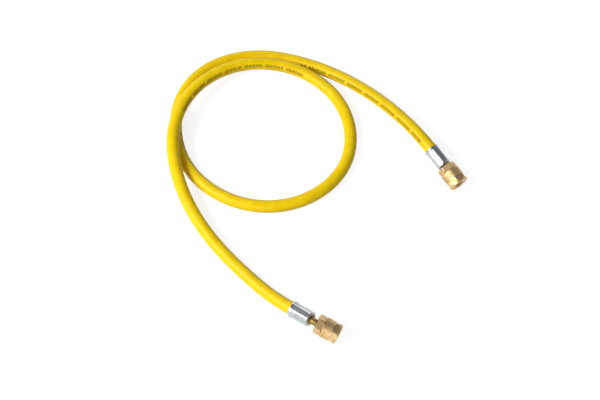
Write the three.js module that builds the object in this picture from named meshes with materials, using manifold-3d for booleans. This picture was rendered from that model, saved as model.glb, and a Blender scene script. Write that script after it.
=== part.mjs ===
// Refrigerant charging hose, millimetres, +Z up, lying on the floor z = 0.
// A stiff rubber hose goes once round in a loop and passes over itself. Each end is crimped into a
// steel ferrule on a brass tail. One tail is straight and one is bent, and a swivel nut turns on each.
import * as THREE from 'three';
import { mergeVertices } from 'three/addons/utils/BufferGeometryUtils.js';
import Module from 'manifold-3d';

// Hose
const HOSE_RADIUS = 6;
const HOSE_BORE_RADIUS = 2.6;
const HOSE_SIDES = 12;
const HOSE_STEPS = 60;
const HOSE_INSERTION = 17.5;

// Gap between pieces that touch
const FIT = 0.3;

// Ferrules: the straight end is crimped a little tighter than the bent end
const FERRULE_LENGTH = 21;
const FERRULE_END_WALL = 1.4;
const FERRULE_LIP_LENGTH = 1.3;
const FERRULE_LIP_RISE = 0.35;
const FERRULE_SHOULDER = 1.3;
const STRAIGHT_FERRULE_RADIUS = 6.95;
const BENT_FERRULE_RADIUS = 7.4;

// Brass tails
const STEM_BORE_RADIUS = 1.4;
const STEM_LENGTH = 16;
const BARB_RISE = 0.25;
const BARB_PITCH = 4;
const COLLAR_RADIUS = 5;
const TUBE_RADIUS = 3.2;
const HEAD_RADIUS = 4.7;
const HEAD_LENGTH = 5;
const SEAT_RADIUS = 4.2;
const SEAT_DEPTH = 1.6;
const STRAIGHT_TUBE_SHOWN = 1.2;
const BEND_ANGLE = THREE.MathUtils.degToRad(30);
const BEND_RADIUS = 7.5;
const BEND_LEAD = 1.2;
const BEND_RUNOUT = 0.6;
const BEND_ROLL = THREE.MathUtils.degToRad(26);

// Gaskets and the valve core depressor
const GASKET_THICKNESS = 2.2;
const GASKET_HOLE_RADIUS = 2.3;
const DEPRESSOR_SEAT_RADIUS = 2.4;
const DEPRESSOR_SEAT_DEPTH = 1.4;
const DEPRESSOR_DISC = 1;
const PIN_RADIUS = 0.8;
const PIN_LENGTH = 4.4;

// Swivel nuts: 7/16-20 UNF, hexagon 16 mm across flats
const NUT_LENGTH = 21.8;
const HEX_ACROSS_FLATS = 16;
const HEX_LENGTH = 6.2;
const HEX_CHAMFER = 0.8;
const BARREL_RADIUS = 9.4;
const BAND_LENGTH = 4.6;
const BAND_FLAT_DEPTH = 0.9;
const BAND_FLAT_COUNT = 6;
const RIM_LENGTH = 2.2;
const RIM_CHAMFER = 0.7;
const NUT_FLANGE = 4.5;
const THREAD_RADIUS = 5;
const MOUTH_CHAMFER = 0.7;
const STRAIGHT_NUT_TURN = THREE.MathUtils.degToRad(47.5);
const BENT_NUT_TURN = THREE.MathUtils.degToRad(27);
const ROUND_SIDES = 32;

// The hose's lay, chosen by hand: from the hose end in the straight ferrule, over the top, down
// the left side underneath, round the loop, over itself and out to the end in the bent ferrule.
const ROUTE = [
  [120.6, 22.6, 13.2],
  [102.4, 48.1, 18],
  [82.5, 74.5, 16.6],
  [60.9, 99.2, 12.2],
  [36.2, 121.1, 8.4],
  [8.8, 138.2, 6.5],
  [-21.2, 150.1, 6],
  [-53.2, 156.6, 6],
  [-85.7, 152.6, 6],
  [-114.2, 137.1, 6],
  [-132.7, 110.6, 6],
  [-138.7, 78.6, 6],
  [-134.7, 45.6, 6],
  [-120.7, 16.6, 6],
  [-97.7, -5.9, 6],
  [-68.2, -19.9, 6],
  [-35.7, -22.4, 6],
  [-4.7, -12.4, 6],
  [20.3, 8.6, 6],
  [34.3, 38.1, 6],
  [34.8, 71.1, 6.5],
  [23.3, 101.6, 7.5],
  [1.3, 125.6, 8.5],
  [-27.7, 140.1, 10],
  [-60.2, 143.1, 12.5],
  [-91.2, 133.1, 15],
  [-116.7, 112.6, 17],
  [-132.7, 84.6, 18.6],
  [-138.7, 52.6, 19.2],
  [-135.2, 20.6, 17.3],
  [-125.7, -10.4, 14],
  [-110.7, -38.4, 10],
  [-91.7, -63.9, 7],
  [-69.9, -87.2, 6],
  [-46.3, -109.6, 6],
  [-32.3, -120.1, 6.3],
  [-8.1, -138.7, 13.4],
].map(([x, y, z]) => new THREE.Vector3(x, y, z));

// Uniform cubic B-spline that runs straight at both ends
class HoseLine extends THREE.Curve {
  constructor(points) {
    super();
    const last = points.length - 1;
    const before = points[0].clone().multiplyScalar(2).sub(points[1]);
    const after = points[last].clone().multiplyScalar(2).sub(points[last - 1]);
    this.points = [before, ...points, after];
    this.spans = last;
  }

  getPoint(t, target = new THREE.Vector3()) {
    const along = t * this.spans;
    const span = Math.min(Math.floor(along), this.spans - 1);
    const w = along - span;
    const weights = [
      (1 - w) ** 3 / 6,
      (3 * w ** 3 - 6 * w ** 2 + 4) / 6,
      (-3 * w ** 3 + 3 * w ** 2 + 3 * w + 1) / 6,
      w ** 3 / 6,
    ];
    target.set(0, 0, 0);
    weights.forEach((weight, k) => target.addScaledVector(this.points[span + k], weight));
    return target;
  }
}

// Materials
const rubber = () => new THREE.MeshStandardMaterial({ color: 0xf0cd05, roughness: 0.45, metalness: 0 });
const zinc = () => new THREE.MeshStandardMaterial({ color: 0xb9c2c9, roughness: 0.3, metalness: 1 });
const brass = () => new THREE.MeshStandardMaterial({ color: 0xc9a063, roughness: 0.35, metalness: 1 });
const blackRubber = () => new THREE.MeshStandardMaterial({ color: 0x1c1c1c, roughness: 0.7, metalness: 0 });

// Solids for cutting and joining
const wasm = await Module();
wasm.setup();

function toSolid(geometry) {
  const bare = geometry.clone();
  bare.deleteAttribute('normal');
  bare.deleteAttribute('uv');
  const merged = mergeVertices(bare, 1e-5);
  return new wasm.Manifold(new wasm.Mesh({
    numProp: 3,
    vertProperties: new Float32Array(merged.attributes.position.array),
    triVerts: new Uint32Array(merged.index.array),
  }));
}

function toGeometry(solid) {
  const mesh = solid.getMesh();
  const geometry = new THREE.BufferGeometry();
  geometry.setAttribute('position', new THREE.BufferAttribute(mesh.vertProperties, 3));
  geometry.setIndex(new THREE.BufferAttribute(mesh.triVerts, 1));
  geometry.computeVertexNormals();
  return geometry;
}

// A turned solid round +Y from [radius, height] pairs that run round its section once
function turned(section, sides = ROUND_SIDES) {
  const outline = [...section, section[0]].map(([r, y]) => new THREE.Vector2(r, y));
  return new THREE.LatheGeometry(outline, sides);
}

function circleShape(radius, sides) {
  const corners = Array.from({ length: sides }, (_, k) => {
    const angle = (2 * Math.PI * k) / sides;
    return new THREE.Vector2(radius * Math.cos(angle), radius * Math.sin(angle));
  });
  return new THREE.Shape(corners);
}

function piece(name, geometry, material) {
  const mesh = new THREE.Mesh(geometry, material);
  mesh.name = name;
  return mesh;
}

function makeHose() {
  const section = circleShape(HOSE_RADIUS, HOSE_SIDES);
  section.holes.push(circleShape(HOSE_BORE_RADIUS, HOSE_SIDES));
  const geometry = new THREE.ExtrudeGeometry(section, {
    steps: HOSE_STEPS,
    bevelEnabled: false,
    extrudePath: new HoseLine(ROUTE),
  });
  return piece('hose', geometry, rubber());
}

// Heights along a fitting, measured from the ferrule's mouth
const COLLAR_START = HOSE_INSERTION + FIT;
const COLLAR_END = FERRULE_LENGTH - FERRULE_END_WALL - FIT;
const STEM_RADIUS = HOSE_BORE_RADIUS * Math.cos(Math.PI / HOSE_SIDES) - FIT;
const HEAD_START = NUT_FLANGE + FIT;
const HEAD_END = HEAD_START + HEAD_LENGTH;

// Cup round the hose end, with a rolled lip at its mouth and a hole for the tail in its end
function makeFerrule(name, radius) {
  const bore = HOSE_RADIUS + FIT;
  const hole = TUBE_RADIUS + FIT;
  const inner = FERRULE_LENGTH - FERRULE_END_WALL;
  const lip = radius + FERRULE_LIP_RISE;
  const rounding = FERRULE_SHOULDER * (1 - Math.SQRT1_2);
  return piece(name, turned([
    [bore, 0],
    [lip, 0],
    [lip, FERRULE_LIP_LENGTH],
    [radius, FERRULE_LIP_LENGTH + FERRULE_LIP_RISE],
    [radius, FERRULE_LENGTH - FERRULE_SHOULDER],
    [radius - rounding, FERRULE_LENGTH - rounding],
    [radius - FERRULE_SHOULDER, FERRULE_LENGTH],
    [hole, FERRULE_LENGTH],
    [hole, inner],
    [bore, inner],
  ]), zinc());
}

// Barbed stem in the hose, and the collar that the ferrule is crimped behind
function stemSection() {
  const start = HOSE_INSERTION - STEM_LENGTH;
  const barbs = [];
  for (let y = start; y + BARB_PITCH <= COLLAR_START; y += BARB_PITCH) {
    barbs.push([STEM_RADIUS - BARB_RISE, y], [STEM_RADIUS, y + BARB_PITCH - BARB_RISE]);
  }
  return [
    ...barbs,
    [STEM_RADIUS - BARB_RISE, COLLAR_START],
    [COLLAR_RADIUS, COLLAR_START],
    [COLLAR_RADIUS, COLLAR_END],
  ];
}

// Head that the nut pulls on, with a recess for the gasket. Heights from the nut's rear face.
function headSection() {
  return [
    [HEAD_RADIUS, HEAD_START],
    [HEAD_RADIUS, HEAD_END],
    [SEAT_RADIUS, HEAD_END],
    [SEAT_RADIUS, HEAD_END - SEAT_DEPTH],
  ];
}

function makeStraightTail(nutRear) {
  const start = HOSE_INSERTION - STEM_LENGTH;
  const head = headSection().map(([r, y]) => [r, y + nutRear]);
  return piece('tail_straight', turned([
    [STEM_BORE_RADIUS, start],
    ...stemSection(),
    [TUBE_RADIUS, COLLAR_END],
    [TUBE_RADIUS, nutRear + HEAD_START],
    ...head,
    [STEM_BORE_RADIUS, nutRear + HEAD_END - SEAT_DEPTH],
  ]), brass());
}

// The bent tail's centre line in its own frame: +Y out of the ferrule, bending towards +Z
const BEND_START = FERRULE_LENGTH + BEND_LEAD;
const BEND_CENTRE = new THREE.Vector3(0, BEND_START, BEND_RADIUS);

function onBend(angle) {
  return new THREE.Vector3(
    0,
    BEND_CENTRE.y + BEND_RADIUS * Math.sin(angle),
    BEND_CENTRE.z - BEND_RADIUS * Math.cos(angle),
  );
}

const BENT_AXIS = new THREE.Vector3(0, Math.cos(BEND_ANGLE), Math.sin(BEND_ANGLE));
const BENT_NUT_REAR = onBend(BEND_ANGLE).addScaledVector(BENT_AXIS, BEND_RUNOUT);

function bentTailPath(from, beyondNutRear) {
  const path = new THREE.CurvePath();
  const bendEnd = onBend(BEND_ANGLE);
  const end = BENT_NUT_REAR.clone().addScaledVector(BENT_AXIS, beyondNutRear);
  path.add(new THREE.LineCurve3(new THREE.Vector3(0, from, 0), new THREE.Vector3(0, BEND_START, 0)));
  const arcSteps = 4;
  let last = new THREE.Vector3(0, BEND_START, 0);
  for (let k = 1; k <= arcSteps; k += 1) {
    const next = onBend((BEND_ANGLE * k) / arcSteps);
    path.add(new THREE.LineCurve3(last, next));
    last = next;
  }
  path.add(new THREE.LineCurve3(bendEnd, end));
  return path;
}

// A round bar along the bent centre line, with a ring of corners at each of its bends
function bentBar(radius, from, beyondNutRear, sides) {
  const path = bentTailPath(from, beyondNutRear);
  const stops = [path.curves[0].v1, ...path.curves.map((line) => line.v2)];
  const positions = [];
  const sideways = new THREE.Vector3(1, 0, 0);
  stops.forEach((stop, k) => {
    const into = stops[Math.max(k, 1)].clone().sub(stops[Math.max(k, 1) - 1]).normalize();
    const next = Math.min(k, stops.length - 2);
    const out = stops[next + 1].clone().sub(stops[next]).normalize();
    const along = into.clone().add(out).normalize();
    const across = new THREE.Vector3().crossVectors(along, sideways);
    for (let j = 0; j < sides; j += 1) {
      const angle = (2 * Math.PI * j) / sides;
      const corner = stop.clone()
        .addScaledVector(sideways, radius * Math.cos(angle))
        .addScaledVector(across, radius * Math.sin(angle));
      positions.push(corner.x, corner.y, corner.z);
    }
  });
  const faces = [];
  const rings = stops.length;
  for (let k = 0; k < rings - 1; k += 1) {
    for (let j = 0; j < sides; j += 1) {
      const here = k * sides + j;
      const beside = k * sides + ((j + 1) % sides);
      faces.push(here, beside, here + sides, beside, beside + sides, here + sides);
    }
  }
  for (let j = 1; j < sides - 1; j += 1) {
    const lastRing = (rings - 1) * sides;
    faces.push(0, j + 1, j, lastRing, lastRing + j, lastRing + j + 1);
  }
  const geometry = new THREE.BufferGeometry();
  geometry.setAttribute('position', new THREE.Float32BufferAttribute(positions, 3));
  geometry.setIndex(faces);
  return geometry;
}

// Turns and moves a geometry made from the nut's rear face along +Y to the end of the bend
function toBentNut(geometry) {
  geometry.rotateX(BEND_ANGLE);
  geometry.translate(BENT_NUT_REAR.x, BENT_NUT_REAR.y, BENT_NUT_REAR.z);
  return geometry;
}

function makeBentTail() {
  const start = HOSE_INSERTION - STEM_LENGTH;
  const stem = turned([[0, start], ...stemSection(), [0, COLLAR_END]]);
  const head = toBentNut(turned([
    [0, HEAD_START],
    ...headSection(),
    [DEPRESSOR_SEAT_RADIUS, HEAD_END - SEAT_DEPTH],
    [DEPRESSOR_SEAT_RADIUS, HEAD_END - SEAT_DEPTH - DEPRESSOR_SEAT_DEPTH],
    [0, HEAD_END - SEAT_DEPTH - DEPRESSOR_SEAT_DEPTH],
  ]));
  const overlap = 0.5;
  const tube = bentBar(TUBE_RADIUS, COLLAR_END - overlap, HEAD_START + overlap, ROUND_SIDES);
  const bore = bentBar(STEM_BORE_RADIUS, start - overlap, HEAD_END + overlap, ROUND_SIDES / 2);
  const solid = toSolid(stem).add(toSolid(tube)).add(toSolid(head)).subtract(toSolid(bore));
  return piece('tail_bent', toGeometry(solid), brass());
}

// Sealing ring in the recess of a tail's head. Heights from the nut's rear face.
function makeGasket(name) {
  const start = HEAD_END - SEAT_DEPTH + FIT;
  const end = start + GASKET_THICKNESS;
  return piece(name, turned([
    [GASKET_HOLE_RADIUS, start],
    [SEAT_RADIUS - FIT, start],
    [SEAT_RADIUS - FIT, end],
    [GASKET_HOLE_RADIUS, end],
  ]), blackRubber());
}

// Pin that opens the valve core of the port, on a disc in the head
function makeDepressor() {
  const start = HEAD_END - SEAT_DEPTH - DEPRESSOR_SEAT_DEPTH + FIT;
  return piece('core_depressor', turned([
    [0, start],
    [DEPRESSOR_SEAT_RADIUS - FIT, start],
    [DEPRESSOR_SEAT_RADIUS - FIT, start + DEPRESSOR_DISC],
    [PIN_RADIUS, start + DEPRESSOR_DISC],
    [PIN_RADIUS, start + PIN_LENGTH],
    [0, start + PIN_LENGTH],
  ]), brass());
}

// Swivel nut from its rear face along +Y: chamfered hexagon, round barrel, a band of milled flats
// and a plain rim, bored from the front and closed by a flange round the tail
function makeNut(name) {
  const hexCorner = HEX_ACROSS_FLATS / Math.sqrt(3);
  const hexagon = new THREE.CylinderGeometry(hexCorner, hexCorner, HEX_LENGTH, 6);
  hexagon.translate(0, HEX_LENGTH / 2, 0);
  const chamfer = turned([
    [0, 0],
    [hexCorner - HEX_CHAMFER, 0],
    [hexCorner, HEX_CHAMFER],
    [hexCorner, HEX_LENGTH],
    [0, HEX_LENGTH],
  ]);
  const hexStep = 0.5;
  const barrel = turned([
    [0, HEX_LENGTH - hexStep],
    [BARREL_RADIUS - hexStep, HEX_LENGTH - hexStep],
    [BARREL_RADIUS, HEX_LENGTH],
    [BARREL_RADIUS, NUT_LENGTH - RIM_CHAMFER],
    [BARREL_RADIUS - RIM_CHAMFER, NUT_LENGTH],
    [0, NUT_LENGTH],
  ]);
  const bandMiddle = NUT_LENGTH - RIM_LENGTH - BAND_LENGTH / 2;
  const cutter = BARREL_RADIUS;
  let solid = toSolid(hexagon).intersect(toSolid(chamfer)).add(toSolid(barrel));
  for (let k = 0; k < BAND_FLAT_COUNT; k += 1) {
    const flat = new THREE.BoxGeometry(cutter, BAND_LENGTH, cutter);
    flat.translate(0, bandMiddle, BARREL_RADIUS - BAND_FLAT_DEPTH + cutter / 2);
    flat.rotateY((2 * Math.PI * k) / BAND_FLAT_COUNT);
    solid = solid.subtract(toSolid(flat));
  }
  const past = 1;
  const hollow = turned([
    [0, -past],
    [TUBE_RADIUS + FIT, -past],
    [TUBE_RADIUS + FIT, NUT_FLANGE],
    [THREAD_RADIUS, NUT_FLANGE],
    [THREAD_RADIUS, NUT_LENGTH - MOUTH_CHAMFER],
    [THREAD_RADIUS + MOUTH_CHAMFER + past, NUT_LENGTH + past],
    [0, NUT_LENGTH + past],
  ]);
  return piece(name, toGeometry(solid.subtract(toSolid(hollow))), brass());
}

// A frame at the ferrule's mouth with +Y out of the hose. +Z leans `roll` from straight down
// towards the left of someone who looks along the fitting.
function fittingAt(end, before, roll) {
  const outward = end.clone().sub(before).normalize();
  const left = new THREE.Vector3(0, 0, 1).cross(outward).normalize();
  const up = new THREE.Vector3().crossVectors(outward, left);
  const bendTo = up.multiplyScalar(-Math.cos(roll)).addScaledVector(left, Math.sin(roll));
  const side = new THREE.Vector3().crossVectors(outward, bendTo);
  const group = new THREE.Group();
  group.quaternion.setFromRotationMatrix(new THREE.Matrix4().makeBasis(side, outward, bendTo));
  group.position.copy(end).addScaledVector(outward, -HOSE_INSERTION);
  return group;
}

function makeStraightEnd() {
  const end = fittingAt(ROUTE[0], ROUTE[1], 0);
  const nutRear = FERRULE_LENGTH + STRAIGHT_TUBE_SHOWN;
  const nut = makeNut('nut_straight');
  nut.rotation.y = STRAIGHT_NUT_TURN;
  const front = new THREE.Group();
  front.position.y = nutRear;
  front.add(makeGasket('gasket_straight'), nut);
  end.add(makeFerrule('ferrule_straight', STRAIGHT_FERRULE_RADIUS), makeStraightTail(nutRear), front);
  return end;
}

function makeBentEnd() {
  const last = ROUTE.length - 1;
  const end = fittingAt(ROUTE[last], ROUTE[last - 1], BEND_ROLL);
  const nut = makeNut('nut_bent');
  nut.rotation.y = BENT_NUT_TURN;
  const front = new THREE.Group();
  front.position.copy(BENT_NUT_REAR);
  front.rotation.x = BEND_ANGLE;
  front.add(makeGasket('gasket_bent'), makeDepressor(), nut);
  end.add(makeFerrule('ferrule_bent', BENT_FERRULE_RADIUS), makeBentTail(), front);
  return end;
}

const chargingHose = new THREE.Group();
chargingHose.add(makeHose(), makeStraightEnd(), makeBentEnd());

export default chargingHose;
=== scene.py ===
"""Refrigerant charging hose, dressed: a yellow rubber hose laid in one loop, with crimped zinc-plated
ferrules, a straight and a bent brass tail, and a knurled brass swivel nut on each.

Sizes are written in millimetres and turned to metres by MM. Colours are linear.
"""
import math

import bpy
import numpy as np
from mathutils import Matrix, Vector


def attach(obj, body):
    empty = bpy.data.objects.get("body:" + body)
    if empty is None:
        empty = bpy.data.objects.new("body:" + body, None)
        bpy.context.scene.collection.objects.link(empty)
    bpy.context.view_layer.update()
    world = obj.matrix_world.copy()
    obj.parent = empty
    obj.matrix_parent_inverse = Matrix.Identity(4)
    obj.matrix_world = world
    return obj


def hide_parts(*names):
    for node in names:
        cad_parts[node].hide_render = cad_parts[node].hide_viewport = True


MM = 0.001

# The hose's lay, point by point as in the solids
ROUTE = MM * np.array([
    (120.6, 22.6, 13.2), (102.4, 48.1, 18), (82.5, 74.5, 16.6), (60.9, 99.2, 12.2), (36.2, 121.1, 8.4),
    (8.8, 138.2, 6.5), (-21.2, 150.1, 6), (-53.2, 156.6, 6), (-85.7, 152.6, 6), (-114.2, 137.1, 6),
    (-132.7, 110.6, 6), (-138.7, 78.6, 6), (-134.7, 45.6, 6), (-120.7, 16.6, 6), (-97.7, -5.9, 6),
    (-68.2, -19.9, 6), (-35.7, -22.4, 6), (-4.7, -12.4, 6), (20.3, 8.6, 6), (34.3, 38.1, 6),
    (34.8, 71.1, 6.5), (23.3, 101.6, 7.5), (1.3, 125.6, 8.5), (-27.7, 140.1, 10), (-60.2, 143.1, 12.5),
    (-91.2, 133.1, 15), (-116.7, 112.6, 17), (-132.7, 84.6, 18.6), (-138.7, 52.6, 19.2),
    (-135.2, 20.6, 17.3), (-125.7, -10.4, 14), (-110.7, -38.4, 10), (-91.7, -63.9, 7),
    (-69.9, -87.2, 6), (-46.3, -109.6, 6), (-32.3, -120.1, 6.3), (-8.1, -138.7, 13.4),
])

# Hose and ferrules
HOSE_RADIUS = 6 * MM
COVER_RADIUS = 6.05 * MM
HOSE_BORE_RADIUS = 2.6 * MM
HOSE_INSERTION = 17.5 * MM
HOSE_RINGS = 720
HOSE_SIDES = 48
BORE_RING_STEP = 8
MOUTH_SWELL = 0.12 * MM
MOUTH_SWELL_REACH = 2.5 * MM
SQUEEZE_DEPTH = 0.45 * MM
SQUEEZE_RUN = 1.5 * MM
FIT = 0.3 * MM
FERRULE_LENGTH = 21 * MM
FERRULE_END_WALL = 1.4 * MM
FERRULE_RADIUS = {"straight": 6.95 * MM, "bent": 7.4 * MM}
FERRULE_PLAY = 0.1 * MM
FERRULE_LIP_LENGTH = 1.3 * MM
FERRULE_LIP_RISE = 0.35 * MM
FERRULE_LIP_SLOPE = 0.5 * MM
FERRULE_SHOULDER = 1.3 * MM
FERRULE_END_ROUNDING = 2.1 * MM
FERRULE_SIDES = 192
CRIMPS = 8
CRIMP_TURN = {"straight": math.radians(11.5), "bent": math.radians(5.5)}
CRIMP_LEAD = 0.6 * MM
CRIMP_FADE_AT_LIP = 0.8 * MM
CRIMP_FADE_AT_END = 1.4 * MM
# Share of the ferrule's radius where a land lies, LAND_ANGLE radians from the land's middle
LAND_REACH = 0.955
LAND_ANGLE = 0.10
# Share of the radius by which a ridge falls over RIDGE_ANGLE radians from its crest
RIDGE_FALL = 0.02
RIDGE_ANGLE = 0.09

# Tails
STEM_BORE_RADIUS = 1.4 * MM
STEM_LENGTH = 16 * MM
STEM_RADIUS = 2.2 * MM
BARB_PITCH = 4 * MM
BARB_LENGTH = 3.75 * MM
BARB_HEIGHT = 0.25 * MM
COLLAR_RADIUS = 5 * MM
TUBE_RADIUS = 3.2 * MM
HEAD_RADIUS = 4.7 * MM
HEAD_LENGTH = 5 * MM
SEAT_RADIUS = 4.2 * MM
SEAT_DEPTH = 1.6 * MM
STRAIGHT_TUBE_SHOWN = 1.2 * MM
BEND_ANGLE = math.radians(30)
BEND_RADIUS = 7.5 * MM
BEND_LEAD = 1.2 * MM
BEND_RUNOUT = 0.6 * MM
BEND_ROLL = math.radians(26)
TURNED_SIDES = 64

# Gaskets and depressor
GASKET_THICKNESS = 2.2 * MM
GASKET_HOLE_RADIUS = 2.3 * MM
GROOVE_HALF_WIDTH = 0.25 * MM
GROOVE_DEPTH = 0.3 * MM
DEPRESSOR_SEAT_RADIUS = 2.4 * MM
DEPRESSOR_SEAT_DEPTH = 1.4 * MM
DEPRESSOR_DISC = 1 * MM
PIN_RADIUS = 0.8 * MM
PIN_LENGTH = 4.4 * MM
PIN_SIDES = 40

# Swivel nuts
NUT_LENGTH = 21.8 * MM
HEX_APOTHEM = 8 * MM
HEX_LENGTH = 6.2 * MM
HEX_SHARPNESS = 70
BARREL_RADIUS = 9.4 * MM
BAND_LENGTH = 4.6 * MM
BAND_FLAT_DEPTH = 0.9 * MM
BAND_EDGE = 0.12 * MM
BAND_SLOPE = 0.3 * MM
RIM_LENGTH = 2.2 * MM
RIM_CHAMFER = 0.7 * MM
NUT_FLANGE = 4.5 * MM
THREAD_MINOR_RADIUS = 4.93 * MM
THREAD_DEPTH = 0.6 * MM
THREAD_PITCH = 25.4 / 20 * MM
THREAD_LEAD_IN = 0.6 * MM
THREAD_LEAD_OUT = 0.8 * MM
MOUTH_CHAMFER = 0.7 * MM
KNURLS = 40
SIDES_PER_KNURL = 6
KNURL_DEPTH = 0.22 * MM
KNURL_SLOPE = 0.55
KNURL_RUNOUT = 0.4 * MM
NUT_TURN = {"straight": math.radians(47.5), "bent": math.radians(27)}

# Parts of the nut's section
PLAIN, HEXAGON, KNURL, BAND, THREAD = range(5)

# Tick marks along the hose. Shares are of the pitch, the group and the run they belong to.
TICK_ROW = math.radians(31)
TICK_PITCH = 1.5 * MM
TICK_INK_ENDS = (0.2, 0.27)
TICK_HALF_HEIGHT = 1.55 * MM
TALL_TICK_RISE = 0.4 * MM
TICK_EDGE = 0.06 * MM
TICK_GROUP = 22.5 * MM
TICK_GROUP_SHARE = 0.86
TICK_RUN = 345 * MM
TICK_RUN_START = 28 * MM
TICK_RUN_SHARE = 0.46
INK = (0.06, 0.028, 0.002, 1)
INK_COVER = 0.84
INK_COVER_GRAIN = 0.2

# Rubber: two tones in patches, and the tone of the drawing lines
HOSE_TONES = ((0.88, 0.60, 0.002, 1), (0.94, 0.66, 0.004, 1))
HOSE_LINE_TONE = (0.76, 0.49, 0.002, 1)
GASKET_TONES = ((0.012, 0.012, 0.013, 1), (0.03, 0.03, 0.03, 1))

# Metals: light and dark tone, roughness, tool marks to the metre, how they run (1 lengthwise, 0 round
# the piece) and the strength of the bump
METALS = {
    "zinc_plated_steel": ((0.74, 0.78, 0.81, 1), (0.46, 0.51, 0.56, 1), 0.28, 3000.0, 1.0, 0.2),
    "brass": ((0.84, 0.61, 0.33, 1), (0.64, 0.43, 0.18, 1), 0.42, 5000.0, 0.0, 0.35),
    # Brass for the tails: its darker colour is painted shade, standing for the shadow the tails lie in
    # between ferrule and nut; only its higher roughness is the metal's own
    "painted_shade_brass": ((0.42, 0.28, 0.10, 1), (0.28, 0.18, 0.06, 1), 0.46, 5000.0, 0.0, 0.35),
}

# Floor and room. The floor glows only for the camera and in reflections.
FLOOR_REACH = 6.0
FLOOR_TONE = (0.42, 0.42, 0.42, 1)
FLOOR_SEEN = 0.82
FLOOR_MIRRORED = 0.62
HORIZON = (0.42, 0.42, 0.42, 1)
OVERHEAD = (0.14, 0.145, 0.155, 1)

# Lamps: place, size and power
LAMPS = {
    "key": ((-1.3, -0.47, 1.27), (0.8, 0.8), 32),
    "front": ((-0.48, -1.45, 0.75), (0.45, 0.4), 6),
    "back": ((0.1, 1.7, 0.65), (1.4, 0.3), 6),
}

# The view: the spot at the picture's centre, the camera's distance and elevation from it, and its lens
VIEW_TARGET = Vector((-15.2, -10.4, 0)) * MM
VIEW_DISTANCE = 1085 * MM
VIEW_ELEVATION = math.radians(60)
LENS = 68.6
SENSOR_WIDTH = 36
CLIP_START = 0.02


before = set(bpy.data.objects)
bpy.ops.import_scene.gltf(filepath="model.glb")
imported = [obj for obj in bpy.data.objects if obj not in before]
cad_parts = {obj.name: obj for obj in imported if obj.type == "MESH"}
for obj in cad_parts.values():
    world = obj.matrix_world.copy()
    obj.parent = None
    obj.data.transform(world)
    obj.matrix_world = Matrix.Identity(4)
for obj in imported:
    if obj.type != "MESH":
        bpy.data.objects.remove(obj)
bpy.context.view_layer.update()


# Camera

def make_camera():
    away = Vector((0, -math.cos(VIEW_ELEVATION), math.sin(VIEW_ELEVATION)))
    data = bpy.data.cameras.new("photo_view")
    data.lens = LENS
    data.sensor_width = SENSOR_WIDTH
    data.clip_start = CLIP_START
    camera = bpy.data.objects.new("photo_view", data)
    camera.location = VIEW_TARGET + away * VIEW_DISTANCE
    camera.rotation_euler = (math.pi / 2 - VIEW_ELEVATION, 0, 0)
    bpy.context.scene.collection.objects.link(camera)
    bpy.context.scene.camera = camera


make_camera()


# Surfaces carried along a line

def unit(vectors):
    return vectors / np.linalg.norm(vectors, axis=-1, keepdims=True)


def hose_line(count):
    """Centre line of the hose: a uniform cubic B-spline through the route's span, straight at both ends.
    Returns points, their distances from the start, and the sideways and upward directions at each."""
    before = 2 * ROUTE[0] - ROUTE[1]
    after = 2 * ROUTE[-1] - ROUTE[-2]
    points = np.vstack([before, ROUTE, after])
    along = np.linspace(0, len(ROUTE) - 1, count)
    span = np.minimum(along.astype(int), len(ROUTE) - 2)
    w = (along - span)[:, None]
    line = (
        (1 - w) ** 3 * points[span]
        + (3 * w**3 - 6 * w**2 + 4) * points[span + 1]
        + (-3 * w**3 + 3 * w**2 + 3 * w + 1) * points[span + 2]
        + w**3 * points[span + 3]
    ) / 6
    distance = np.concatenate([[0], np.cumsum(np.linalg.norm(np.diff(line, axis=0), axis=1))])
    forward = unit(np.gradient(line, distance, axis=0))
    left = unit(np.cross((0, 0, 1), forward))
    up = np.cross(forward, left)
    return line, distance, left, up


class Fitting:
    """One end: `outward` along the ferrule from its mouth, the plane of the tail's bend, and how far from
    the mouth the nut's rear, the tail's head and the gasket's seat lie."""

    def __init__(self, end, before, roll, bent):
        self.outward = unit(end - before)
        left = unit(np.cross((0, 0, 1), self.outward))
        up = np.cross(self.outward, left)
        self.inward_bend = -math.cos(roll) * up + math.sin(roll) * left
        self.side = np.cross(self.outward, self.inward_bend)
        self.mouth = end - self.outward * HOSE_INSERTION
        self.angle = BEND_ANGLE if bent else 0.0
        self.bend_start = FERRULE_LENGTH + (BEND_LEAD if bent else STRAIGHT_TUBE_SHOWN)
        runout = BEND_RUNOUT if bent else 0.0
        self.nut_rear = self.bend_start + BEND_RADIUS * self.angle + runout
        self.head_start = self.nut_rear + NUT_FLANGE + FIT
        self.head_end = self.head_start + HEAD_LENGTH
        self.seat = self.head_end - SEAT_DEPTH

    def at(self, along):
        """Centre and two cross directions at each distance from the ferrule's mouth: straight, then an
        arc of BEND_RADIUS towards inward_bend, then straight again."""
        along = np.asarray(along, dtype=float)[:, None]
        turned = np.clip((along - self.bend_start) / BEND_RADIUS, 0, self.angle)
        straight = np.minimum(along, self.bend_start)
        beyond = np.maximum(along - self.bend_start - BEND_RADIUS * self.angle, 0)
        heading = np.cos(turned) * self.outward + np.sin(turned) * self.inward_bend
        centre = (
            self.mouth
            + straight * self.outward
            + BEND_RADIUS * np.sin(turned) * self.outward
            + BEND_RADIUS * (1 - np.cos(turned)) * self.inward_bend
            + beyond * heading
        )
        side = np.broadcast_to(self.side, heading.shape)
        across = np.cross(heading, side)
        return centre, side, across


def ring_points(centre, side, across, radius, sides):
    """Rings of points: centre + radius (cos a side + sin a across), radius one number a ring or a table
    of ring by angle."""
    angle = 2 * math.pi * np.arange(sides) / sides
    radius = np.asarray(radius, dtype=float)
    if radius.ndim == 1:
        radius = radius[:, None]
    reach = np.broadcast_to(radius, (len(centre), sides))[..., None]
    around = np.cos(angle)[None, :, None] * side[:, None] + np.sin(angle)[None, :, None] * across[:, None]
    return centre[:, None] + reach * around


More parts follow.
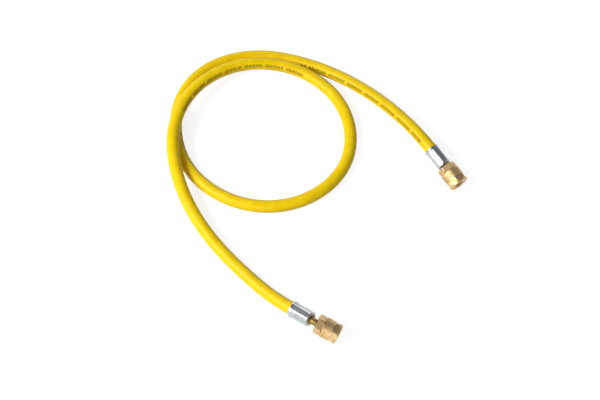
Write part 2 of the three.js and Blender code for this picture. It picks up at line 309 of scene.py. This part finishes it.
def surface_piece(name, rings, lengths, closed=True, sharp=40):
    """A closed piece from a table of rings by angle. `closed` joins the last ring to the first, as on a
    tube with a bore; otherwise each end ring is filled by a fan to its middle. The UV map holds metres:
    U round the piece at its widest, V the given lengths."""
    count, sides = rings.shape[:2]
    ring, step = np.meshgrid(np.arange(count if closed else count - 1), np.arange(sides), indexing="ij")
    ring, step = ring.ravel(), step.ravel()
    ring_after, step_after = (ring + 1) % count, (step + 1) % sides
    quads = np.stack([
        ring * sides + step,
        ring * sides + step_after,
        ring_after * sides + step_after,
        ring_after * sides + step,
    ], axis=1)
    points = rings.reshape(-1, 3)
    widest = np.linalg.norm(rings - rings.mean(axis=1, keepdims=True), axis=2).max()
    turn = 2 * math.pi * widest / sides
    run = np.append(lengths, lengths[-1] + np.linalg.norm(rings[0, 0] - rings[-1, 0]))
    uv = np.stack([
        np.stack([step, step + 1, step + 1, step], axis=1) * turn,
        np.stack([run[ring], run[ring], run[ring + 1], run[ring + 1]], axis=1),
    ], axis=2)
    faces = quads.tolist()
    loop_uv = uv.reshape(-1, 2)
    if not closed:
        middles = np.stack([rings[0].mean(axis=0), rings[-1].mean(axis=0)])
        points = np.vstack([points, middles])
        first, last = len(points) - 2, len(points) - 1
        here = np.arange(sides)
        beyond = (here + 1) % sides
        base = (count - 1) * sides
        faces += np.stack([beyond, here, np.full(sides, first)], axis=1).tolist()
        faces += np.stack([base + here, base + beyond, np.full(sides, last)], axis=1).tolist()
        loop_uv = np.vstack([loop_uv, np.zeros((6 * sides, 2))])
    # Six times the volume inside the quads; its sign says which way the faces point
    a, b, c, d = (points[quads[:, k]] for k in range(4))
    signed = np.einsum("ij,ij->", a, np.cross(b, c)) + np.einsum("ij,ij->", a, np.cross(c, d))
    mesh = bpy.data.meshes.new(name)
    mesh.from_pydata(points.tolist(), [], faces)
    layer = mesh.uv_layers.new(name="surface")
    layer.data.foreach_set("uv", loop_uv.astype(np.float32).ravel())
    if signed < 0:
        mesh.flip_normals()
    mesh.polygons.foreach_set("use_smooth", [True] * len(mesh.polygons))
    mesh.set_sharp_from_angle(angle=math.radians(sharp))
    mesh.update()
    piece = bpy.data.objects.new(name, mesh)
    bpy.context.scene.collection.objects.link(piece)
    return piece


def steps(start, end, size):
    """Evenly spaced values from start to end, no further apart than size."""
    return np.linspace(start, end, max(2, int(math.ceil(abs(end - start) / size)) + 1))


def rounded_outline(corners, radius=0.12 * MM, size=1.0 * MM):
    """A closed outline of (distance, radius) corners with each corner cut by a small round, and long
    edges split so that no step is longer than size. A round takes up at most `share` of either edge."""
    share = 0.35
    corners = np.asarray(corners, dtype=float)
    result = []
    count = len(corners)
    for k in range(count):
        here, last, after = corners[k], corners[k - 1], corners[(k + 1) % count]
        to_last, to_after = last - here, after - here
        reach_last, reach_after = np.linalg.norm(to_last), np.linalg.norm(to_after)
        cut = min(radius, share * reach_last, share * reach_after)
        enter = here + to_last / reach_last * cut
        leave = here + to_after / reach_after * cut
        middle = 0.25 * enter + 0.5 * here + 0.25 * leave
        result += [enter, middle, leave]
        reach_beyond = np.linalg.norm(corners[(k + 2) % count] - after)
        cut_after = min(radius, share * reach_after, share * reach_beyond)
        end = after - to_after / reach_after * cut_after
        inner = steps(0, 1, size / max(np.linalg.norm(end - leave), 1e-9))[1:-1, None]
        result += list(leave + inner * (end - leave))
    return np.array(result)


def outline_lengths(outline):
    """Distance run along an outline of (distance, radius) pairs."""
    return np.concatenate([[0], np.cumsum(np.linalg.norm(np.diff(outline, axis=0), axis=1))])


def turned_piece(name, fitting, outline, sides, closed=True):
    """A round piece on a fitting's line, from its outline of (distance, radius) pairs."""
    centre, side, across = fitting.at(outline[:, 0])
    rings = ring_points(centre, side, across, outline[:, 1], sides)
    return surface_piece(name, rings, outline_lengths(outline), closed)


# Hose

def make_hose():
    """Outer wall and bore along the whole line, joined by flat ends inside the ferrules. The wall swells
    a little where it is squeezed out of each ferrule's mouth."""
    line, distance, left, up = hose_line(HOSE_RINGS)
    length = distance[-1]
    from_mouth = np.minimum(distance, length - distance) - HOSE_INSERTION
    swell = MOUTH_SWELL * np.exp(-((from_mouth - MOUTH_SWELL_REACH) / MOUTH_SWELL_REACH) ** 2)
    squeeze = SQUEEZE_DEPTH * np.clip(-from_mouth / SQUEEZE_RUN, 0, 1)
    back = np.arange(len(line))[::-BORE_RING_STEP]
    if back[-1] != 0:
        back = np.append(back, 0)
    order = np.concatenate([np.arange(len(line)), back])
    radius = np.concatenate([COVER_RADIUS + swell - squeeze, np.full(len(back), HOSE_BORE_RADIUS)])
    rings = ring_points(line[order], left[order], up[order], radius, HOSE_SIDES)
    lengths = np.concatenate([distance, 2 * length - distance[back]])
    return surface_piece("hose_cover", rings, lengths), line, length


# Fittings

def make_ferrule(name, fitting, radius, crimp_turn):
    """Cup round the hose end. Round at its rolled lip and at its end; between them each of the crimping
    jaws leaves a flat land, and the metal stands up in a narrow ridge between two lands."""
    bore = HOSE_RADIUS + FERRULE_PLAY
    hole = TUBE_RADIUS + FIT
    lip = radius + FERRULE_LIP_RISE
    end = FERRULE_LENGTH
    shoulder = [
        (end - FERRULE_SHOULDER * (1 - math.sin(t)), radius - FERRULE_END_ROUNDING * (1 - math.cos(t)))
        for t in np.linspace(0, math.pi / 2, 8)
    ]
    outline = rounded_outline([
        (0, bore), (0, lip), (FERRULE_LIP_LENGTH, lip), (FERRULE_LIP_LENGTH + FERRULE_LIP_SLOPE, radius),
        *shoulder, (end, hole), (end - FERRULE_END_WALL, hole), (end - FERRULE_END_WALL, bore),
    ], radius=0.2 * MM, size=0.6 * MM)
    along, reach = outline[:, 0], outline[:, 1]
    angle = 2 * math.pi * np.arange(FERRULE_SIDES) / FERRULE_SIDES
    pitch = 2 * math.pi / CRIMPS
    off = (angle - crimp_turn) % pitch - pitch / 2
    land = LAND_REACH / np.cos(off) * np.cos(LAND_ANGLE)
    ridge = 1 - RIDGE_FALL * np.clip((pitch / 2 - np.abs(off)) / RIDGE_ANGLE, 0, 1)
    pressed = np.minimum(land, ridge)
    start, stop = FERRULE_LIP_LENGTH + CRIMP_LEAD, end - FERRULE_SHOULDER
    fade_in = np.clip((along - start) / CRIMP_FADE_AT_LIP, 0, 1)
    fade_out = np.clip((stop - along) / CRIMP_FADE_AT_END, 0, 1)
    outside = reach > bore + FIT
    fade = (fade_in * fade_out * outside)[:, None]
    radius_table = reach[:, None] * (1 + fade * (pressed[None, :] - 1))
    centre, side, across = fitting.at(along)
    rings = ring_points(centre, side, across, radius_table, FERRULE_SIDES)
    return surface_piece(name, rings, outline_lengths(outline), sharp=50)


def make_tail(name, fitting, depressor):
    """Brass tail in one piece: barbed stem, collar, tube, and the head with its gasket recess."""
    stem_start = HOSE_INSERTION - STEM_LENGTH
    collar_start = HOSE_INSERTION + FIT
    collar_end = FERRULE_LENGTH - FERRULE_END_WALL - FIT
    head_start, head_end, seat = fitting.head_start, fitting.head_end, fitting.seat
    barbs = []
    for barb in np.arange(stem_start, collar_start - BARB_PITCH, BARB_PITCH):
        barbs += [(barb, STEM_RADIUS - BARB_HEIGHT), (barb + BARB_LENGTH, STEM_RADIUS)]
    counterbore = [(seat, DEPRESSOR_SEAT_RADIUS), (seat - DEPRESSOR_SEAT_DEPTH, DEPRESSOR_SEAT_RADIUS),
                   (seat - DEPRESSOR_SEAT_DEPTH, STEM_BORE_RADIUS)]
    outline = rounded_outline([
        (stem_start, STEM_BORE_RADIUS), *barbs,
        (collar_start, STEM_RADIUS - BARB_HEIGHT), (collar_start, COLLAR_RADIUS),
        (collar_end, COLLAR_RADIUS), (collar_end, TUBE_RADIUS), (head_start, TUBE_RADIUS),
        (head_start, HEAD_RADIUS), (head_end, HEAD_RADIUS), (head_end, SEAT_RADIUS), (seat, SEAT_RADIUS),
        *(counterbore if depressor else [(seat, STEM_BORE_RADIUS)]),
    ], size=0.5 * MM)
    return turned_piece(name, fitting, outline, TURNED_SIDES)


def make_gasket(name, fitting):
    """Moulded ring with rounded edges and a shallow groove in its front face."""
    start = fitting.seat + FIT
    end = start + GASKET_THICKNESS
    outer = SEAT_RADIUS - FIT
    middle = (GASKET_HOLE_RADIUS + outer) / 2
    outline = rounded_outline([
        (start, GASKET_HOLE_RADIUS), (start, outer), (end, outer), (end, middle + GROOVE_HALF_WIDTH),
        (end - GROOVE_DEPTH, middle), (end, middle - GROOVE_HALF_WIDTH), (end, GASKET_HOLE_RADIUS),
    ], radius=0.3 * MM, size=0.4 * MM)
    return turned_piece(name, fitting, outline, TURNED_SIDES)


def make_depressor(name, fitting):
    """Turned pin on a disc, with a small cone at its tip."""
    edge = 0.1 * MM
    fillet = 0.25 * MM
    start = fitting.seat - DEPRESSOR_SEAT_DEPTH + FIT
    disc = DEPRESSOR_SEAT_RADIUS - FIT
    face = start + DEPRESSOR_DISC
    tip = start + PIN_LENGTH
    outline = np.array([
        (start, 0.3 * disc), (start, disc - edge), (start + edge, disc), (face - edge, disc),
        (face, disc - edge), (face, PIN_RADIUS + fillet), (face + fillet, PIN_RADIUS),
        (tip - 0.5 * MM, PIN_RADIUS), (tip - 0.05 * MM, 0.35 * PIN_RADIUS), (tip, 0.1 * PIN_RADIUS),
    ])
    return turned_piece(name, fitting, outline, PIN_SIDES, closed=False)


def smooth_hexagon(angle, apothem):
    """Hexagon radius with slightly rounded corners: apothem over a high norm of the six face cosines."""
    faces = np.arange(6) * math.pi / 3
    reach = np.clip(np.cos(angle[:, None] - faces[None]), 0, None)
    return apothem / (reach**HEX_SHARPNESS).sum(axis=1) ** (1 / HEX_SHARPNESS)


def knurl(angle, along):
    """Diamond knurl height from 0 in the grooves to 1 on the diamonds: two sets of V grooves that climb
    round the barrel opposite ways."""
    lead = 2 * math.pi * BARREL_RADIUS / KNURLS
    turn = angle[None, :] * KNURLS / (2 * math.pi)
    climb = along[:, None] / lead
    one = np.abs(((turn + climb) % 1) - 0.5) * 2
    other = np.abs(((turn - climb) % 1) - 0.5) * 2
    return np.clip(np.minimum(1 - one, 1 - other) / KNURL_SLOPE, 0, 1)


def nut_outline():
    """Section of the nut once round, as (distance from its rear face, radius, part) rows."""
    hole = TUBE_RADIUS + FIT
    hex_end = HEX_LENGTH
    band_start = NUT_LENGTH - RIM_LENGTH - BAND_LENGTH
    band_end = NUT_LENGTH - RIM_LENGTH
    corner = HEX_APOTHEM / math.cos(math.pi / 6)
    edge = 0.35 * MM
    rows = []

    def add(part, start, end, first, last, size):
        run = steps(0, 1, size / max(math.hypot(end - start, last - first), 1e-9))
        rows.extend((start + t * (end - start), first + t * (last - first), part) for t in run)

    add(PLAIN, 0, 0, hole + 0.3 * MM, HEX_APOTHEM - 0.2 * MM, 1 * MM)
    add(HEXAGON, 0, 0.75 * MM, HEX_APOTHEM - 0.15 * MM, corner, 0.07 * MM)
    add(HEXAGON, 0.8 * MM, hex_end - 0.9 * MM, corner, corner, 0.4 * MM)
    add(HEXAGON, hex_end - 0.85 * MM, hex_end - 0.02 * MM, corner, HEX_APOTHEM - 0.1 * MM, 0.07 * MM)
    add(PLAIN, hex_end, hex_end, HEX_APOTHEM - 0.1 * MM, BARREL_RADIUS - 0.5 * MM, 0.5 * MM)
    add(PLAIN, hex_end + 0.04 * MM, hex_end + 0.45 * MM,
        BARREL_RADIUS - 0.42 * MM, BARREL_RADIUS, 0.12 * MM)
    add(KNURL, hex_end + edge + 0.25 * MM, band_start - 0.5 * MM, BARREL_RADIUS, BARREL_RADIUS, 0.24 * MM)
    add(PLAIN, band_start - 0.35 * MM, band_start - 0.05 * MM, BARREL_RADIUS, BARREL_RADIUS, 0.15 * MM)
    add(BAND, band_start, band_end, BARREL_RADIUS, BARREL_RADIUS, 0.12 * MM)
    add(PLAIN, band_end + 0.05 * MM, NUT_LENGTH - RIM_CHAMFER, BARREL_RADIUS, BARREL_RADIUS, 0.3 * MM)
    add(PLAIN, NUT_LENGTH - RIM_CHAMFER + 0.08 * MM, NUT_LENGTH - 0.08 * MM,
        BARREL_RADIUS - 0.08 * MM, BARREL_RADIUS - RIM_CHAMFER + 0.08 * MM, 0.2 * MM)
    mouth = THREAD_MINOR_RADIUS + THREAD_DEPTH + 0.25 * MM
    add(PLAIN, NUT_LENGTH, NUT_LENGTH, BARREL_RADIUS - RIM_CHAMFER, mouth + 0.08 * MM, 0.6 * MM)
    thread_end = NUT_LENGTH - MOUTH_CHAMFER
    add(PLAIN, NUT_LENGTH - 0.06 * MM, thread_end, mouth, THREAD_MINOR_RADIUS + 0.2 * MM, 0.15 * MM)
    add(THREAD, thread_end - 0.1 * MM, NUT_FLANGE + HEAD_LENGTH,
        THREAD_MINOR_RADIUS, THREAD_MINOR_RADIUS, 0.15 * MM)
    add(PLAIN, NUT_FLANGE + HEAD_LENGTH - 0.1 * MM, NUT_FLANGE + 0.02 * MM, 5 * MM, 5 * MM, 1.5 * MM)
    add(PLAIN, NUT_FLANGE, NUT_FLANGE, 4.95 * MM, hole + 0.05 * MM, 1 * MM)
    add(PLAIN, NUT_FLANGE - 0.05 * MM, 0.3 * MM, hole, hole, 1 * MM)
    return np.array(rows)


def make_nut(name, fitting, turn):
    """Swivel nut: chamfered hexagon, diamond-knurled barrel, band of milled flats, plain rim with a
    chamfer, and a 60 degree internal thread that climbs one pitch a turn."""
    rows = nut_outline()
    along, reach, part = rows.T
    sides = KNURLS * SIDES_PER_KNURL
    angle = 2 * math.pi * np.arange(sides) / sides
    table = np.repeat(reach[:, None], sides, axis=1)
    hexagon = smooth_hexagon(angle, HEX_APOTHEM)
    table[part == HEXAGON] = np.minimum(table[part == HEXAGON], hexagon[None])
    is_knurl = part == KNURL
    inset = np.minimum(along - along[is_knurl].min(), along[is_knurl].max() - along)[is_knurl]
    runout = np.clip(inset / KNURL_RUNOUT, 0, 1)[:, None]
    table[is_knurl] -= KNURL_DEPTH * runout * (1 - knurl(angle, along[is_knurl]))
    is_band = part == BAND
    band = along[is_band]
    depth_in = np.minimum(band - band.min(), band.max() - band)
    shoulder = np.clip((depth_in - BAND_EDGE) / BAND_SLOPE, 0, 1)[:, None]
    flat = (BARREL_RADIUS - BAND_FLAT_DEPTH) / np.cos(angle % (math.pi / 3) - math.pi / 6)
    flat = np.minimum(flat, BARREL_RADIUS)[None]
    table[is_band] = BARREL_RADIUS - shoulder * (BARREL_RADIUS - flat)
    is_thread = part == THREAD
    phase = along[is_thread][:, None] / THREAD_PITCH - angle[None, :] / (2 * math.pi)
    tooth = np.abs((phase % 1) - 0.5) * 2
    lead_in = np.clip((along[is_thread].max() - along[is_thread]) / THREAD_LEAD_IN, 0, 1)[:, None]
    lead_out = np.clip((along[is_thread] - along[is_thread].min()) / THREAD_LEAD_OUT, 0, 1)[:, None]
    table[is_thread] += THREAD_DEPTH * np.clip(tooth * 1.15 - 0.08, 0, 1) * lead_in * lead_out
    centre, side, across = fitting.at(fitting.nut_rear + along)
    turned_side = math.cos(turn) * side + math.sin(turn) * across
    turned_across = -math.sin(turn) * side + math.cos(turn) * across
    rings = ring_points(centre, turned_side, turned_across, table, sides)
    return surface_piece(name, rings, outline_lengths(rows[:, :2]), sharp=38)


# Shader groups that several finishes use

def new_group(name, inputs, outputs):
    """An empty node group with float and vector sockets; returns its tree and its end nodes."""
    tree = bpy.data.node_groups.new(name, "ShaderNodeTree")
    for direction, sockets in (("INPUT", inputs), ("OUTPUT", outputs)):
        for label, kind, default in sockets:
            socket = tree.interface.new_socket(label, in_out=direction, socket_type="NodeSocket" + kind)
            if default is not None:
                socket.default_value = default
    return tree, tree.nodes.new("NodeGroupInput"), tree.nodes.new("NodeGroupOutput")


def put(tree, kind, links=(), **settings):
    """Adds a node, sets its properties, and links or sets its inputs from (input, source) pairs."""
    node = tree.nodes.new(kind)
    for label, value in settings.items():
        setattr(node, label, value)
    for socket, source in links:
        if isinstance(source, bpy.types.NodeSocket):
            tree.links.new(source, node.inputs[socket])
        else:
            node.inputs[socket].default_value = source
    return node


def maths(tree, operation, first, second=None, clamp=False):
    links = [(0, first)] + ([(1, second)] if second is not None else [])
    return put(tree, "ShaderNodeMath", links, operation=operation, use_clamp=clamp).outputs[0]


def smooth_step(tree, value, low, high):
    """0 below low, 1 above high, smooth between."""
    node = put(tree, "ShaderNodeMapRange", [("Value", value), ("From Min", low), ("From Max", high)],
               interpolation_type="SMOOTHSTEP")
    return node.outputs["Result"]


def grain_group():
    """Speckle: fine noise for bumps, and broad noise as patches for small changes of tone."""
    tree, enter, leave = new_group(
        "surface_grain",
        [("Vector", "Vector", None), ("Scale", "Float", 400.0)],
        [("Height", "Float", None), ("Patches", "Float", None)],
    )
    place, scale = enter.outputs["Vector"], enter.outputs["Scale"]
    fine = put(tree, "ShaderNodeTexNoise",
               [("Vector", place), ("Scale", scale), ("Detail", 4.0), ("Roughness", 0.6)])
    broad_scale = maths(tree, "MULTIPLY", scale, 0.11)
    broad = put(tree, "ShaderNodeTexNoise",
                [("Vector", place), ("Scale", broad_scale), ("Detail", 2.0), ("Roughness", 0.5)])
    tree.links.new(fine.outputs["Fac"], leave.inputs["Height"])
    tree.links.new(smooth_step(tree, broad.outputs["Fac"], 0.38, 0.66), leave.inputs["Patches"])
    return tree


def tool_marks_group():
    """Fine lines left by turning or drawing: noise squeezed along one way of the UV map. They run
    lengthwise where Along is 1 and round the piece where it is 0."""
    tree, enter, leave = new_group(
        "tool_marks",
        [("Vector", "Vector", None), ("Lines per metre", "Float", 6000.0), ("Waver", "Float", 40.0),
         ("Along", "Float", 0.0)],
        [("Height", "Float", None), ("Shade", "Float", None)],
    )
    parts = put(tree, "ShaderNodeSeparateXYZ", [(0, enter.outputs["Vector"])])
    lines = enter.outputs["Lines per metre"]
    waver = enter.outputs["Waver"]
    share = enter.outputs["Along"]
    rest = maths(tree, "SUBTRACT", 1.0, share)
    scale_u = maths(tree, "ADD", maths(tree, "MULTIPLY", lines, share), maths(tree, "MULTIPLY", waver, rest))
    scale_v = maths(tree, "ADD", maths(tree, "MULTIPLY", lines, rest), maths(tree, "MULTIPLY", waver, share))
    u = maths(tree, "MULTIPLY", parts.outputs[0], scale_u)
    v = maths(tree, "MULTIPLY", parts.outputs[1], scale_v)
    joined = put(tree, "ShaderNodeCombineXYZ", [(0, u), (1, v)])
    noise = put(tree, "ShaderNodeTexNoise",
                [("Vector", joined.outputs[0]), ("Scale", 1.0), ("Detail", 3.0), ("Roughness", 0.65)])
    tree.links.new(noise.outputs["Fac"], leave.inputs["Height"])
    tree.links.new(smooth_step(tree, noise.outputs["Fac"], 0.35, 0.7), leave.inputs["Shade"])
    return tree


GRAIN = grain_group()
TOOL_MARKS = tool_marks_group()


def use_group(tree, group, links):
    return put(tree, "ShaderNodeGroup", links, node_tree=group)


def new_material(name):
    material = bpy.data.materials.new(name)
    material.use_nodes = True
    tree = material.node_tree
    tree.nodes.clear()
    shader = tree.nodes.new("ShaderNodeBsdfPrincipled")
    output = tree.nodes.new("ShaderNodeOutputMaterial")
    tree.links.new(shader.outputs[0], output.inputs[0])
    return material, tree, shader


def mix_colour(tree, factor, first, second):
    # Inputs 6 and 7 and output 2 are the mix node's colours
    return put(tree, "ShaderNodeMix", [(0, factor), (6, first), (7, second)], data_type="RGBA").outputs[2]


def add_bump(tree, shader, height, distance, strength):
    bump = put(tree, "ShaderNodeBump", [("Height", height), ("Distance", distance), ("Strength", strength)])
    tree.links.new(bump.outputs[0], shader.inputs["Normal"])


def length_ticks_group():
    """Plain ink ticks in a row along the hose, like a ruler's: every fifth one taller, in short groups with
    gaps between them, and the groups in long runs that come again each Run."""
    tree, enter, leave = new_group(
        "length_ticks",
        [("Around", "Float", None), ("Along", "Float", None), ("Row", "Float", 0.0),
         ("Pitch", "Float", TICK_PITCH), ("Group", "Float", TICK_GROUP), ("Run", "Float", TICK_RUN),
         ("Run start", "Float", TICK_RUN_START)],
        [("Mask", "Float", None)],
    )
    along = enter.outputs["Along"]
    count = maths(tree, "DIVIDE", along, enter.outputs["Pitch"])
    off_middle = maths(tree, "ABSOLUTE", maths(tree, "SUBTRACT", maths(tree, "FRACT", count), 0.5))
    bar = maths(tree, "SUBTRACT", 1.0, smooth_step(tree, off_middle, *TICK_INK_ENDS))
    middle = maths(tree, "ADD", maths(tree, "FLOOR", count), 0.5)
    fifth = maths(tree, "FRACT", maths(tree, "DIVIDE", middle, 5.0))
    tall = maths(tree, "LESS_THAN", fifth, 0.2)
    half_height = maths(tree, "ADD", TICK_HALF_HEIGHT, maths(tree, "MULTIPLY", tall, TALL_TICK_RISE))
    off_row = maths(tree, "ABSOLUTE", maths(tree, "SUBTRACT", enter.outputs["Around"], enter.outputs["Row"]))
    beyond = maths(tree, "SUBTRACT", off_row, half_height)
    in_row = maths(tree, "SUBTRACT", 1.0, smooth_step(tree, beyond, -TICK_EDGE, TICK_EDGE))
    group = maths(tree, "FRACT", maths(tree, "DIVIDE", along, enter.outputs["Group"]))
    in_group = maths(tree, "LESS_THAN", group, TICK_GROUP_SHARE)
    shifted = maths(tree, "SUBTRACT", along, enter.outputs["Run start"])
    run = maths(tree, "FRACT", maths(tree, "DIVIDE", shifted, enter.outputs["Run"]))
    in_run = maths(tree, "LESS_THAN", run, TICK_RUN_SHARE)
    shown = maths(tree, "MULTIPLY", in_group, in_run)
    mask = maths(tree, "MULTIPLY", maths(tree, "MULTIPLY", bar, in_row), shown)
    tree.links.new(mask, leave.inputs["Mask"])
    return tree


def hose_rubber():
    """Smooth yellow rubber cover: soft sheen, faint patches and lengthwise drawing lines, and the ticks."""
    material, tree, shader = new_material("hose_rubber")
    uv = put(tree, "ShaderNodeUVMap", uv_map="surface").outputs[0]
    place = put(tree, "ShaderNodeTexCoord").outputs["Object"]
    grain = use_group(tree, GRAIN, [("Vector", place), ("Scale", 900.0)])
    drawn = use_group(tree, TOOL_MARKS,
                      [("Vector", uv), ("Lines per metre", 1500.0), ("Waver", 25.0), ("Along", 1.0)])
    colour = mix_colour(tree, grain.outputs["Patches"], *HOSE_TONES)
    line_shade = maths(tree, "MULTIPLY", drawn.outputs["Shade"], 0.10)
    colour = mix_colour(tree, line_shade, colour, HOSE_LINE_TONE)
    parts = put(tree, "ShaderNodeSeparateXYZ", [(0, uv)])
    ticks = use_group(tree, length_ticks_group(),
                      [("Around", parts.outputs[0]), ("Along", parts.outputs[1]),
                       ("Row", COVER_RADIUS * TICK_ROW)])
    cover = maths(tree, "ADD", INK_COVER, maths(tree, "MULTIPLY", grain.outputs["Height"], INK_COVER_GRAIN))
    faded = maths(tree, "MULTIPLY", ticks.outputs["Mask"], cover)
    colour = mix_colour(tree, faded, colour, INK)
    tree.links.new(colour, shader.inputs["Base Color"])
    rough = maths(tree, "ADD", 0.36, maths(tree, "MULTIPLY", grain.outputs["Patches"], 0.07))
    tree.links.new(rough, shader.inputs["Roughness"])
    shader.inputs["Specular IOR Level"].default_value = 0.17
    height = maths(tree, "ADD", maths(tree, "MULTIPLY", grain.outputs["Height"], 0.6),
                   maths(tree, "MULTIPLY", drawn.outputs["Height"], 0.4))
    add_bump(tree, shader, height, 0.00006, 0.5)
    return material


def metal(name, light, dark, roughness, lines, along, bump):
    """Plated or machined metal: tool marks, grain and slow patches of tone."""
    material, tree, shader = new_material(name)
    uv = put(tree, "ShaderNodeUVMap", uv_map="surface").outputs[0]
    place = put(tree, "ShaderNodeTexCoord").outputs["Object"]
    grain = use_group(tree, GRAIN, [("Vector", place), ("Scale", 1400.0)])
    marks = use_group(tree, TOOL_MARKS,
                      [("Vector", uv), ("Lines per metre", lines), ("Waver", 120.0), ("Along", along)])
    tone = maths(tree, "MULTIPLY", maths(tree, "ADD", grain.outputs["Patches"], marks.outputs["Shade"]), 0.5)
    tree.links.new(mix_colour(tree, tone, light, dark), shader.inputs["Base Color"])
    shader.inputs["Metallic"].default_value = 1.0
    rough = maths(tree, "ADD", roughness, maths(tree, "MULTIPLY", tone, 0.12))
    tree.links.new(rough, shader.inputs["Roughness"])
    height = maths(tree, "ADD", maths(tree, "MULTIPLY", grain.outputs["Height"], 0.5),
                   maths(tree, "MULTIPLY", marks.outputs["Height"], 0.5))
    add_bump(tree, shader, height, 0.00004, bump)
    return material


def gasket_rubber():
    """Dull black rubber with a fine speckle."""
    material, tree, shader = new_material("gasket_rubber")
    place = put(tree, "ShaderNodeTexCoord").outputs["Object"]
    grain = use_group(tree, GRAIN, [("Vector", place), ("Scale", 2500.0)])
    colour = mix_colour(tree, grain.outputs["Patches"], *GASKET_TONES)
    tree.links.new(colour, shader.inputs["Base Color"])
    shader.inputs["Roughness"].default_value = 0.62
    add_bump(tree, shader, grain.outputs["Height"], 0.00005, 0.5)
    return material


# Put the pieces together

hose, hose_path, hose_length = make_hose()
ends = {
    "straight": Fitting(ROUTE[0], ROUTE[1], 0, bent=False),
    "bent": Fitting(ROUTE[-1], ROUTE[-2], BEND_ROLL, bent=True),
}

finishes = {"hose_rubber": hose_rubber(), "gasket_rubber": gasket_rubber()}
for metal_name, look in METALS.items():
    finishes[metal_name] = metal(metal_name, *look)


def dress(piece, node, slot, body="root", finish=None):
    """Gives a piece its finish, the slot's own if no other is named, lets it stand for its CAD node, and
    lets it ride on its body."""
    piece.data.materials.append(finishes[finish or slot])
    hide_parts(node)
    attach(piece, body)
    return piece


dress(hose, "hose", "hose_rubber")
for label, fitting in ends.items():
    bent = label == "bent"
    made = [
        dress(make_ferrule(f"{label}_ferrule", fitting, FERRULE_RADIUS[label], CRIMP_TURN[label]),
              f"ferrule_{label}", "zinc_plated_steel"),
        # The tails take the darker brass, whose colour is painted shade for the shadow they lie in
        dress(make_tail(f"{label}_tail", fitting, bent), f"tail_{label}", "brass", finish="painted_shade_brass"),
        dress(make_gasket(f"{label}_gasket", fitting), f"gasket_{label}", "gasket_rubber"),
        dress(make_nut(f"{label}_nut", fitting, NUT_TURN[label]), f"nut_{label}", "brass", f"swivel_{label}"),
    ]
    if bent:
        made.append(dress(make_depressor("pin_depressor", fitting), "core_depressor", "brass"))


# Floor and light

def make_floor():
    """A white sheet, seen brighter than it shines on the pieces, so that they lie on it with only a faint
    shadow and their undersides stay dark, as in a cut-out photograph."""
    mesh = bpy.data.meshes.new("floor")
    reach = FLOOR_REACH
    mesh.from_pydata([(-reach, -reach, 0), (reach, -reach, 0), (reach, reach, 0), (-reach, reach, 0)], [],
                     [(0, 1, 2, 3)])
    floor = bpy.data.objects.new("floor", mesh)
    bpy.context.scene.collection.objects.link(floor)
    material, tree, shader = new_material("floor_white")
    shader.inputs["Base Color"].default_value = FLOOR_TONE
    shader.inputs["Roughness"].default_value = 0.9
    shader.inputs["Specular IOR Level"].default_value = 0.0
    shader.inputs["Emission Color"].default_value = (1, 1, 1, 1)
    path = put(tree, "ShaderNodeLightPath")
    seen = maths(tree, "MULTIPLY", path.outputs["Is Camera Ray"], FLOOR_SEEN)
    mirrored = maths(tree, "MULTIPLY", path.outputs["Is Glossy Ray"], FLOOR_MIRRORED)
    tree.links.new(maths(tree, "ADD", seen, mirrored), shader.inputs["Emission Strength"])
    mesh.materials.append(material)


def add_area(name, place, size, power):
    """A rectangular lamp that faces the spot at the picture's centre."""
    data = bpy.data.lights.new(name, "AREA")
    data.shape = "RECTANGLE"
    data.size, data.size_y = size
    data.energy = power
    lamp = bpy.data.objects.new(name, data)
    lamp.location = place
    lamp.rotation_euler = (VIEW_TARGET - Vector(place)).to_track_quat("-Z", "Y").to_euler()
    bpy.context.scene.collection.objects.link(lamp)


def make_world():
    """Dim room: lighter at the horizon, where the white walls are, and dark overhead."""
    world = bpy.data.worlds.new("studio")
    world.use_nodes = True
    tree = world.node_tree
    background = tree.nodes["Background"]
    place = put(tree, "ShaderNodeTexCoord").outputs["Generated"]
    height = put(tree, "ShaderNodeSeparateXYZ", [(0, place)]).outputs[2]
    overhead = smooth_step(tree, height, 0.15, 0.6)
    tree.links.new(mix_colour(tree, overhead, HORIZON, OVERHEAD), background.inputs[0])
    background.inputs[1].default_value = 1.0
    bpy.context.scene.world = world


make_floor()
make_world()
for lamp_name, (lamp_place, lamp_size, lamp_power) in LAMPS.items():
    add_area(lamp_name, lamp_place, lamp_size, lamp_power)
bpy.context.scene.view_settings.view_transform = "Standard"

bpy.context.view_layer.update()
